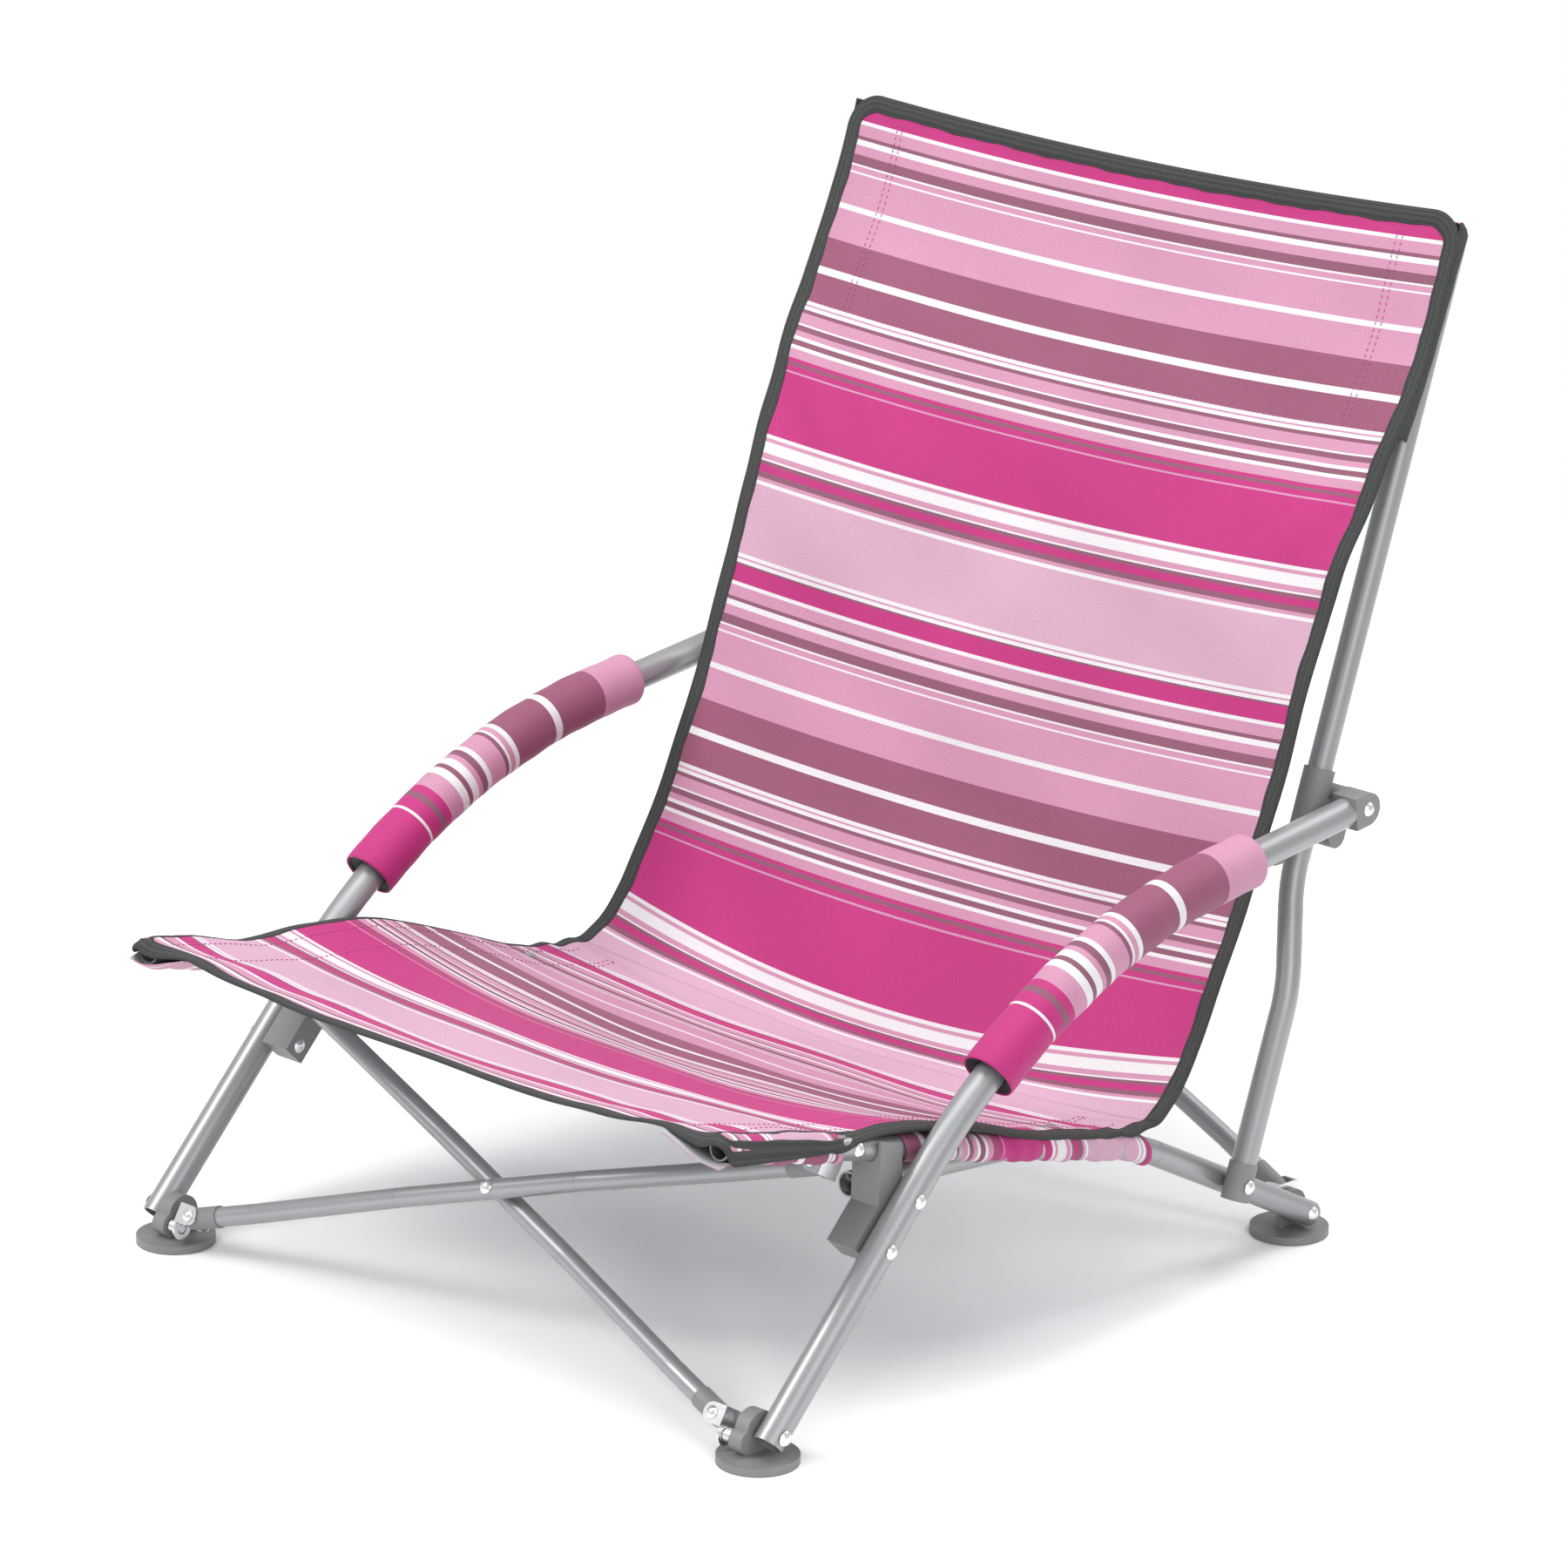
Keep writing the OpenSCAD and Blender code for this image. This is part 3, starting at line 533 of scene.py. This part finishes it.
# points (x, v) and inward directions along a panel's cut edge, from side to side
def rimPath(start, end):
    half, length = clothHalf, clothLength
    atTop = start == 0.0
    r = slingValues["topCorner"] if atTop else slingValues["frontCorner"]
    edge, sign, far = (0.0, 1, end) if atTop else (length, -1, start)
    places = np.linspace(far, edge + sign * r, int(abs(far - edge) / 0.004))
    side = [(half, v, -1, 0) for v in places]
    turn = []
    for k in range(1, 19):
        a = math.pi / 2 * k / 18
        x, v = half - r + r * math.cos(a), edge + sign * (r - r * math.sin(a))
        turn.append((x, v, -math.cos(a), sign * math.sin(a)))
    front = [(x, edge, 0, sign) for x in np.arange(half - r - 0.004, -half + r, -0.004)]
    mirrored = [(-x, v, -dx, dv) for x, v, dx, dv in (side + turn)[::-1]]
    return np.array(side + turn + front + mirrored)


# tape folded over the cut edge
def bindingPiece(name, start, end):
    path = rimPath(start, end)
    wide, t = slingValues["binding"], slingValues["thickness"]
    # inset from the cut edge and lift off the face, round the folded tape
    section = [(wide, 0.0001), (wide - 0.0006, 0.0006), (wide * 0.5, 0.0008),
               (0.0012, 0.0009), (-0.0005, 0.0004), (-0.0009, -0.0004),
               (-0.0005, -t - 0.0004), (0.0012, -t - 0.0009), (wide * 0.5, -t - 0.0008),
               (wide - 0.0006, -t - 0.0006), (wide, -t - 0.0001)]
    run = runLength(path[:, :2])
    wobble = 0.0004 * np.sin(run * 90) + 0.0003 * np.sin(run * 233 + 1)
    points, uvs = [], []
    for k, (inset, lift) in enumerate(section):
        grow = inset + (wobble if inset > 0.006 else 0)
        x = path[:, 0] + path[:, 2] * np.maximum(grow, 0)
        v = path[:, 1] + path[:, 3] * np.maximum(grow, 0)
        p = clothAt(x, v, lift)
        if inset < 0:
            near = path[:, :2] + path[:, 2:] * 0.003
            q = clothAt(near[:, 0], near[:, 1], lift)
            e = clothAt(path[:, 0], path[:, 1], lift)
            away = e - q
            away /= np.linalg.norm(away, axis=1)[:, None]
            p = p + away * -inset
        points.append(p)
        uvs.append(np.stack([np.full(len(run), k * 0.0022), run], 1))
    points, uvs = np.array(points), np.array(uvs)
    n, m = points.shape[:2]
    index = np.arange(n * m).reshape(n, m)
    faces = [(index[i, j], index[(i + 1) % n, j], index[(i + 1) % n, j + 1], index[i, j + 1])
             for i in range(n) for j in range(m - 1)]
    faces += [tuple(index[::-1, 0]), tuple(index[:, -1])]
    return makeMesh(name, points.reshape(-1, 3), faces, uvs.reshape(-1, 2), (bindingTape,))


backBinding = bindingPiece("back_binding", 0.0, slingValues["back"])
seatBinding = bindingPiece("seat_binding", slingValues["back"], clothLength)
print("binding made")


# a closed thin sheet of cloth through a grid of points, striped on its first side
def thinSheet(name, grid, uv):
    h, w = grid.shape[:2]
    n = np.cross(np.gradient(grid, axis=0), np.gradient(grid, axis=1))
    n /= np.maximum(np.linalg.norm(n, axis=-1), 1e-9)[..., None]
    back = grid - n * slingValues["thickness"]
    points = np.r_[grid.reshape(-1, 3), back.reshape(-1, 3)]
    faces, cells, rims = sheetFaces(h, w)
    kinds = [0] * cells + [1] * cells + [0] * rims
    uv = uv.reshape(-1, 2)
    return makeMesh(name, points, faces, np.r_[uv, uv], (stripedCloth, underCloth), kinds)


# a soft line of count samples through control points
def rounded(points, count, spread):
    points = np.asarray(points, float)
    run = runLength(points)
    at = np.linspace(0, run[-1], count)
    columns = [smoothed(np.interp(at, run, points[:, k]), spread) for k in range(points.shape[1])]
    line = np.stack(columns, 1)
    line[0], line[-1] = points[0], points[-1]
    return line


# hem and post pockets behind the top of the back
hemRows = np.linspace(0.0045, slingValues["hem"], 36)
hemColumns = np.linspace(-0.2075, 0.2075, 70)
hx, hv = np.meshgrid(hemColumns, hemRows)
loose = 0.0006 * np.sin(hx * 60 + hv * 30) + 0.0006 * np.sin(hx * 23 - hv * 90)
away = clothNormal(hx, hv) * (0.0008 + loose)[..., None] * np.sin(np.pi * hv / 0.145)[..., None]
hemGrid = clothAt(hx, hv, -0.0026) - away
backHem = thinSheet("back_hem", hemGrid[:, ::-1], np.stack([hx, -hv], -1)[:, ::-1])

postPivot, postLean = (0.118, 0.06242), math.radians(20)  # y and z of the pivot, lean from upright


# cloth tunnel round the top of a back post, open downwards
def postPocket(name, side):
    rows = np.linspace(0.004, slingValues["hem"], 44)
    grid, uv = [], []
    for k, v in enumerate(rows):
        front = clothPoint(side * 0.235, v)
        normal = clothNormal(side * 0.225, v)
        reach = (front[2] - postPivot[1]) / math.cos(postLean)
        lean = np.array([0, math.sin(postLean), math.cos(postLean)])
        post = np.array([0, *postPivot]) + lean * reach
        depth = float(np.dot(front - post, normal))
        loose = 0.0009 * math.sin(v * 130 + side) + 0.0006 * math.sin(v * 310)
        low = depth + 0.0089 + loose
        section = rounded([(0.2065, 0.0026), (0.212, 0.0035), (0.2250, low * 0.62),
                           (0.2350, low * 0.94), (0.2400, low), (0.2446, low + 0.0010),
                           (0.2494, low - 0.0016), (0.2530, depth + 0.0030), (0.2537, depth * 0.75),
                           (0.2542, depth * 0.4), (0.2546, 0.0008)], 44, 1.3)
        if k < 3:
            section[:, 1] *= (0.35, 0.75, 0.94)[k]
        x = side * section[:, 0] * (halfWidth(v) / 0.2560)
        points = np.stack([x, np.full(len(x), front[1]), np.full(len(x), front[2])], 1)
        points = points - section[:, 1:] * normal
        grid.append(points if side < 0 else points[::-1])
        line = runLength(section)
        line = line if side < 0 else line[::-1]
        uv.append(np.stack([line, np.full(len(x), -v)], 1))
    piece = thinSheet(name, np.array(grid), np.array(uv))
    piece.data.materials.append(bindingTape)
    for face in piece.data.polygons:
        if abs(face.center.x) > 0.2505:  # the outer wall is binding tape
            face.material_index = 2
    return piece


postPocketRight = postPocket("post_pocket_right", 1)
postPocketLeft = postPocket("post_pocket_left", -1)

# tunnels that hold the seat on its rails
seatPlaces = np.linspace(slingValues["back"], clothLength, 200)
seatYs = {1: sample(rightEdge, seatPlaces)[:, 0], -1: sample(leftEdge, seatPlaces)[:, 0]}


# place along the cloth where its edge has a given y
def placeAt(y, side):
    return float(np.interp(-y, -seatYs[side], seatPlaces))


# lower layer of the pocket over the front end of a seat rail
def frontPocket(name, side):
    grid, uv = [], []
    for y in np.r_[np.linspace(-0.230, -0.322, 40), np.linspace(-0.323, -0.3355, 14)]:
        v = placeAt(y, side)
        axis = railHeight(y * 1000)
        inner = float(clothAt(side * 0.2085, v, -0.0018)[2]) - axis
        rim = clothAt(side * 0.2532, v, -0.0012)
        close = math.sqrt(max(1 - max((-0.3245 - y) / 0.0125, 0) ** 2, 0.02))
        loose = 0.0007 * math.sin(y * 210 + side) + 0.0005 * math.sin(y * 390)
        deep = -0.0100 * close + loose + min(float(rim[2]) - axis, 0) * (1 - close)
        end = (abs(float(rim[0])) - 0.0008, float(rim[2]) - axis)
        section = [(0.2085, inner), (0.2180, inner * 0.6 + deep * 0.3),
                   (0.2290, deep * 0.72 + inner * 0.15), (0.2370, deep * 0.95),
                   (0.2420, deep * 1.02), (0.2455, deep * 1.04)]
        outer = ((0.2505, deep * 0.9), (0.2536, deep * 0.45), (0.2542, -0.001))
        section += [q for q in outer if q[1] < end[1]]
        section = rounded(section + [end], 40, 1.2)
        points = np.stack([side * section[:, 0], np.full(40, y), section[:, 1] + axis], 1)
        line = runLength(section)
        grid.append(points if side < 0 else points[::-1])
        line = line if side < 0 else line[::-1]
        uv.append(np.stack([line, np.full(40, 2 * clothLength - v)], 1))
    return thinSheet(name, np.array(grid), np.array(uv))


frontPocketRight = frontPocket("front_pocket_right", 1)
frontPocketLeft = frontPocket("front_pocket_left", -1)


# striped tunnel that hangs under the seat's edge round a rail
def railSleeve(name, side):
    grid, uv = [], []
    low, high = -0.177, 0.044
    for y in np.linspace(low, high, 90):
        v = placeAt(y, side)
        bend = max(y - 0.022, 0)
        axis = railHeight(y * 1000) - bend * bend * 4.5
        top = max(float(clothAt(side * 0.232, v, -0.0020)[2]) - axis, 0.0095)
        inner = float(clothAt(side * 0.2085, v, -0.0022)[2]) - axis
        end = min(abs(y - low), abs(y - high))
        grow = 1 + 0.05 * math.exp(-end / 0.006)
        loose = 0.0005 * math.sin(y * 170 + side) + 0.0004 * math.sin(y * 420 + 2)
        r = (0.0092 + loose) * grow
        section = [(0.2085, inner), (0.2230, inner * 0.45 - 0.003), (0.2325, -0.0042), (0.2375, -0.0078)]
        turns = np.radians([-25, 0, 25, 50, 75, 100, 125])
        section += [(railX + r * math.sin(a), -r * math.cos(a)) for a in turns]
        section += [(0.2500, max(top * 0.75, 0.0088)), (0.2420, max(top * 0.9, 0.0098))]
        section += [(0.2335, top)]
        section = rounded(section, 44, 1.1)
        points = np.stack([side * section[:, 0], np.full(44, y), section[:, 1] + axis], 1)
        line = runLength(section)
        grid.append(points if side > 0 else points[::-1])
        line = line if side > 0 else line[::-1]
        uv.append(np.stack([line, np.full(44, y + 0.090 + 0.1895)], 1))
    return thinSheet(name, np.array(grid), np.array(uv))


railSleeves = {"right": railSleeve("rail_tunnel_right", 1),
               "left": railSleeve("rail_tunnel_left", -1)}
print("pockets and tunnels made")

# padded arm sleeves on the bent arm tube
armBend = 0.430  # radius of the bend
legAngle, restAngle, armTurn = math.radians(45.5), math.radians(6), math.radians(39.5)
footPin, armPin = np.array([-0.301, 0.020]), np.array([0.2192, 0.286])
legWay = np.array([math.cos(legAngle), math.sin(legAngle)])
restWay = np.array([math.cos(restAngle), math.sin(restAngle)])
along = np.linalg.solve(np.stack([legWay, -restWay], 1), armPin - footPin)[0]
bendStart = along - armBend * math.tan(armTurn / 2)


# point (y, z) and direction of the arm tube's middle line at a distance from the foot pin
def armLine(distance):
    if distance <= bendStart:
        return footPin + legWay * distance, legAngle
    turned = min((distance - bendStart) / armBend, armTurn)
    angle = legAngle
    inward = np.array([math.sin(angle), -math.cos(angle)])
    center = footPin + legWay * bendStart + armBend * inward
    angle -= turned
    point = center + armBend * np.array([-math.sin(angle), math.cos(angle)])
    return point + restWay * max(distance - bendStart - armBend * armTurn, 0), angle


def armSleeve(name, side):
    length, r, foam = sleeveValues["high"], sleeveValues["radius"], sleeveValues["foam"]
    # place along the sleeve, radius, and 1 where it is foam
    profile = [(0.014, 0.0099, 1), (0.0045, 0.0104, 1), (0.0030, foam - 0.001, 1),
               (0.0022, foam, 1), (0.0010, foam + 0.0003, 0), (0.0001, r - 0.0008, 0),
               (0.0003, r - 0.0001, 0), (0.0015, r + 0.0001, 0)]
    for k in np.linspace(0.004, length - 0.004, 62):
        profile.append((k, r + 0.0002 * math.sin(k * 100) + 0.00015 * math.sin(k * 260), 0))
    profile += [(length - 0.0015, r - 0.0001, 0), (length - 0.0002, r - 0.0008, 0),
                (length - 0.0006, foam, 0), (length - 0.0012, foam - 0.001, 1),
                (length - 0.0016, 0.0104, 1), (length - 0.012, 0.0099, 1)]
    start, count = bendStart + 0.0765, 48
    points, uvs, kinds = [], [], []
    for place, radius, kind in profile:
        (y, z), angle = armLine(start + place)
        outward = np.array([-math.sin(angle), math.cos(angle)])
        for k in range(count + 1):
            a = 2 * math.pi * k / count
            wave = 1 + 0.010 * math.sin(2 * a + place * 40) * (kind == 0)
            off = radius * wave
            middle = sleeveValues["center"] if radius > 0.0125 else 0.266
            lift = 0.0008 if radius > 0.0125 else 0
            yz = np.array([y, z]) + outward * (off * math.sin(a) + lift)
            points.append((side * (middle + off * math.cos(a)), yz[0], yz[1]))
            uvs.append((a * radius, place))
        kinds.append(kind)
    width, faces, materials = count + 1, [], []
    for i in range(len(profile) - 1):
        for k in range(count):
            quad = [i * width + k, i * width + k + 1, (i + 1) * width + k + 1, (i + 1) * width + k]
            faces.append(quad if side > 0 else quad[::-1])
            materials.append(max(kinds[i], kinds[i + 1]))
    return makeMesh(name, points, faces, uvs, (stripedSleeve, foamRubber), materials)


armSleeves = {"right": armSleeve("padded_sleeve_right", 1),
              "left": armSleeve("padded_sleeve_left", -1)}
print("arm sleeves made")


# one small closed body for each stitch on straight lines over the cloth
def stitchPiece(name, lines, lift=0.0003):
    starts, ends = [], []
    for (x0, v0), (x1, v1) in lines:
        count = max(1, int(math.hypot(x1 - x0, v1 - v0) / 0.0042))
        for k in range(count):
            f, g = (k + 0.05) / count, (k + 0.75) / count
            starts.append((x0 + (x1 - x0) * f, v0 + (v1 - v0) * f))
            ends.append((x0 + (x1 - x0) * g, v0 + (v1 - v0) * g))
    a, b = np.array(starts), np.array(ends)
    p, q = clothAt(a[:, 0], a[:, 1], lift), clothAt(b[:, 0], b[:, 1], lift)
    half = (a + b) / 2
    n = clothNormal(half[:, 0], half[:, 1])
    side = np.cross(q - p, n)
    side *= 0.00042 / np.linalg.norm(side, axis=1)[:, None]
    m = (p + q) / 2
    corners = [p, q, m + side, m - side, m + n * 0.0005, m - n * 0.0004]
    points = np.stack(corners, 1).reshape(-1, 3)
    faces = []
    for k in range(len(a)):
        i = 6 * k
        faces += [(i, i + 4, i + 2), (i + 2, i + 4, i + 1), (i + 1, i + 4, i + 3), (i + 3, i + 4, i),
                  (i, i + 2, i + 5), (i + 2, i + 1, i + 5), (i + 1, i + 3, i + 5), (i + 3, i, i + 5)]
    return makeMesh(name, points, faces, materials=(threadMat,))


backLines, seatLines = [((-0.243, 0.141), (0.243, 0.141))], []
for side in (1, -1):
    for x in (0.2065, 0.2110):
        backLines.append(((side * x, 0.013), (side * x, 0.140)))
    for x in (0.2335, 0.2085):
        seatLines.append(((side * x, 0.612), (side * x, 0.972)))
    seatLines += [((side * 0.2035, 0.612), (side * 0.2035, 0.640)),
                  ((side * 0.2035, 0.612), (side * 0.2085, 0.612)),
                  ((side * 0.2035, 0.640), (side * 0.2085, 0.640))]
backStitches = stitchPiece("back_stitches", backLines)
seatStitches = stitchPiece("seat_stitches", seatLines)
print("stitches made")

cameraValues = {"azimuth": 43.58, "elevation": 17.88, "distance": 4.865,
                "target": (0.0167, -0.034, 0.3016), "roll": 0.4, "lens": 181.0, "sensor": 36.0}
a, e = math.radians(cameraValues["azimuth"]), math.radians(cameraValues["elevation"])
cameraData = bpy.data.cameras.new("camera")
cameraData.lens, cameraData.sensor_width = cameraValues["lens"], cameraValues["sensor"]
camera = bpy.data.objects.new("camera", cameraData)
bpy.context.scene.collection.objects.link(camera)
bpy.context.scene.camera = camera
away = Vector((math.sin(a) * math.cos(e), -math.cos(a) * math.cos(e), math.sin(e)))
camera.location = Vector(cameraValues["target"]) + away * cameraValues["distance"]
turn = (-away).to_track_quat("-Z", "Y").to_matrix().to_4x4()
camera.rotation_euler = (turn @ Matrix.Rotation(math.radians(cameraValues["roll"]), 4, "Z")).to_euler()
cameraData.clip_end = 60


lightValues = {"key": 86, "fill": 28, "rim": 30, "top": 78, "world": 0.72}


def areaLamp(name, place, size, power, target=(0, -0.05, 0.3)):
    data = bpy.data.lights.new(name, "AREA")
    data.energy, data.size = power, size
    lamp = bpy.data.objects.new(name, data)
    bpy.context.scene.collection.objects.link(lamp)
    lamp.location = place
    lamp.rotation_euler = (Vector(target) - Vector(place)).to_track_quat("-Z", "Y").to_euler()


areaLamp("key", (-1.4, -2.65, 2.9), 1.6, lightValues["key"])
areaLamp("fill", (3.2, -1.45, 1.6), 2.2, lightValues["fill"])
areaLamp("rim", (0.6, 2.75, 2.2), 1.6, lightValues["rim"])
areaLamp("top", (0.2, 0.05, 3.2), 2.6, lightValues["top"])
# the camera sees white, everything else is lit by the world light
s = Shader(bpy.data.worlds.new("studio"), "OutputWorld")
bpy.context.scene.world = s.material
light = s.node("Background", Color=(0.97, 0.98, 1), Strength=lightValues["world"])
seen = s.node("Background", Color=(1, 1, 1), Strength=1.0)
s.finish(s.node("MixShader", i0=s.node("LightPath"), i1=light, i2=seen))
bpy.context.scene.view_settings.view_transform = "Standard"

# a floor that fades to plain white away from the chair
floorValues = {"size": 14.0, "color": (0.93, 0.93, 0.935), "height": -0.0004}
s = Shader(bpy.data.materials.new("studio_floor"))
floorMat = s.surface(Base_Color=floorValues["color"], Roughness=0.9)
away = s.node("VectorMath", {"operation": "LENGTH"}, 1, i0=s.node("TexCoord", out=3))
far = s.node("MapRange", {"interpolation_type": "SMOOTHSTEP"}, i0=away, i1=0.7, i2=1.9)
glow = s.node("Emission", Color=(1, 1, 1), Strength=1.0)
near = Socket(s, s.output.inputs[0].links[0].from_socket)
s.finish(s.node("MixShader", i0=far, i1=near, i2=glow))
half, down = floorValues["size"] / 2, floorValues["height"]
corners = [(-half, -half, down), (half, -half, down), (half, half, down), (-half, half, down)]
floor = makeMesh("floor", corners, [(0, 1, 2, 3)], materials=(floorMat,), smooth=False)
print("camera, light and floor made")

# what each piece replaces, rides on and rests on
for piece, node in ((backCloth, "back_sling"), (seatCloth, "seat_sling")):
    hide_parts(node)
backPieces = (backCloth, backBinding, backHem, backStitches)
seatPieces = (seatCloth, seatBinding, seatStitches)
for piece in backPieces:
    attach(piece, "post_right")
for piece in seatPieces:
    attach(piece, "rail_right")
for piece in backPieces + seatPieces:
    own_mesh(piece)
for side, pocket, front in (("right", postPocketRight, frontPocketRight),
                            ("left", postPocketLeft, frontPocketLeft)):
    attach(pocket, "post_" + side)
    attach(front, "rail_" + side)
    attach(railSleeves[side], "rail_" + side)
    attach(armSleeves[side], "arm_" + side)
    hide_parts("rail_sleeve_" + side)
    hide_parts("arm_sleeve_" + side)
print("pieces placed")
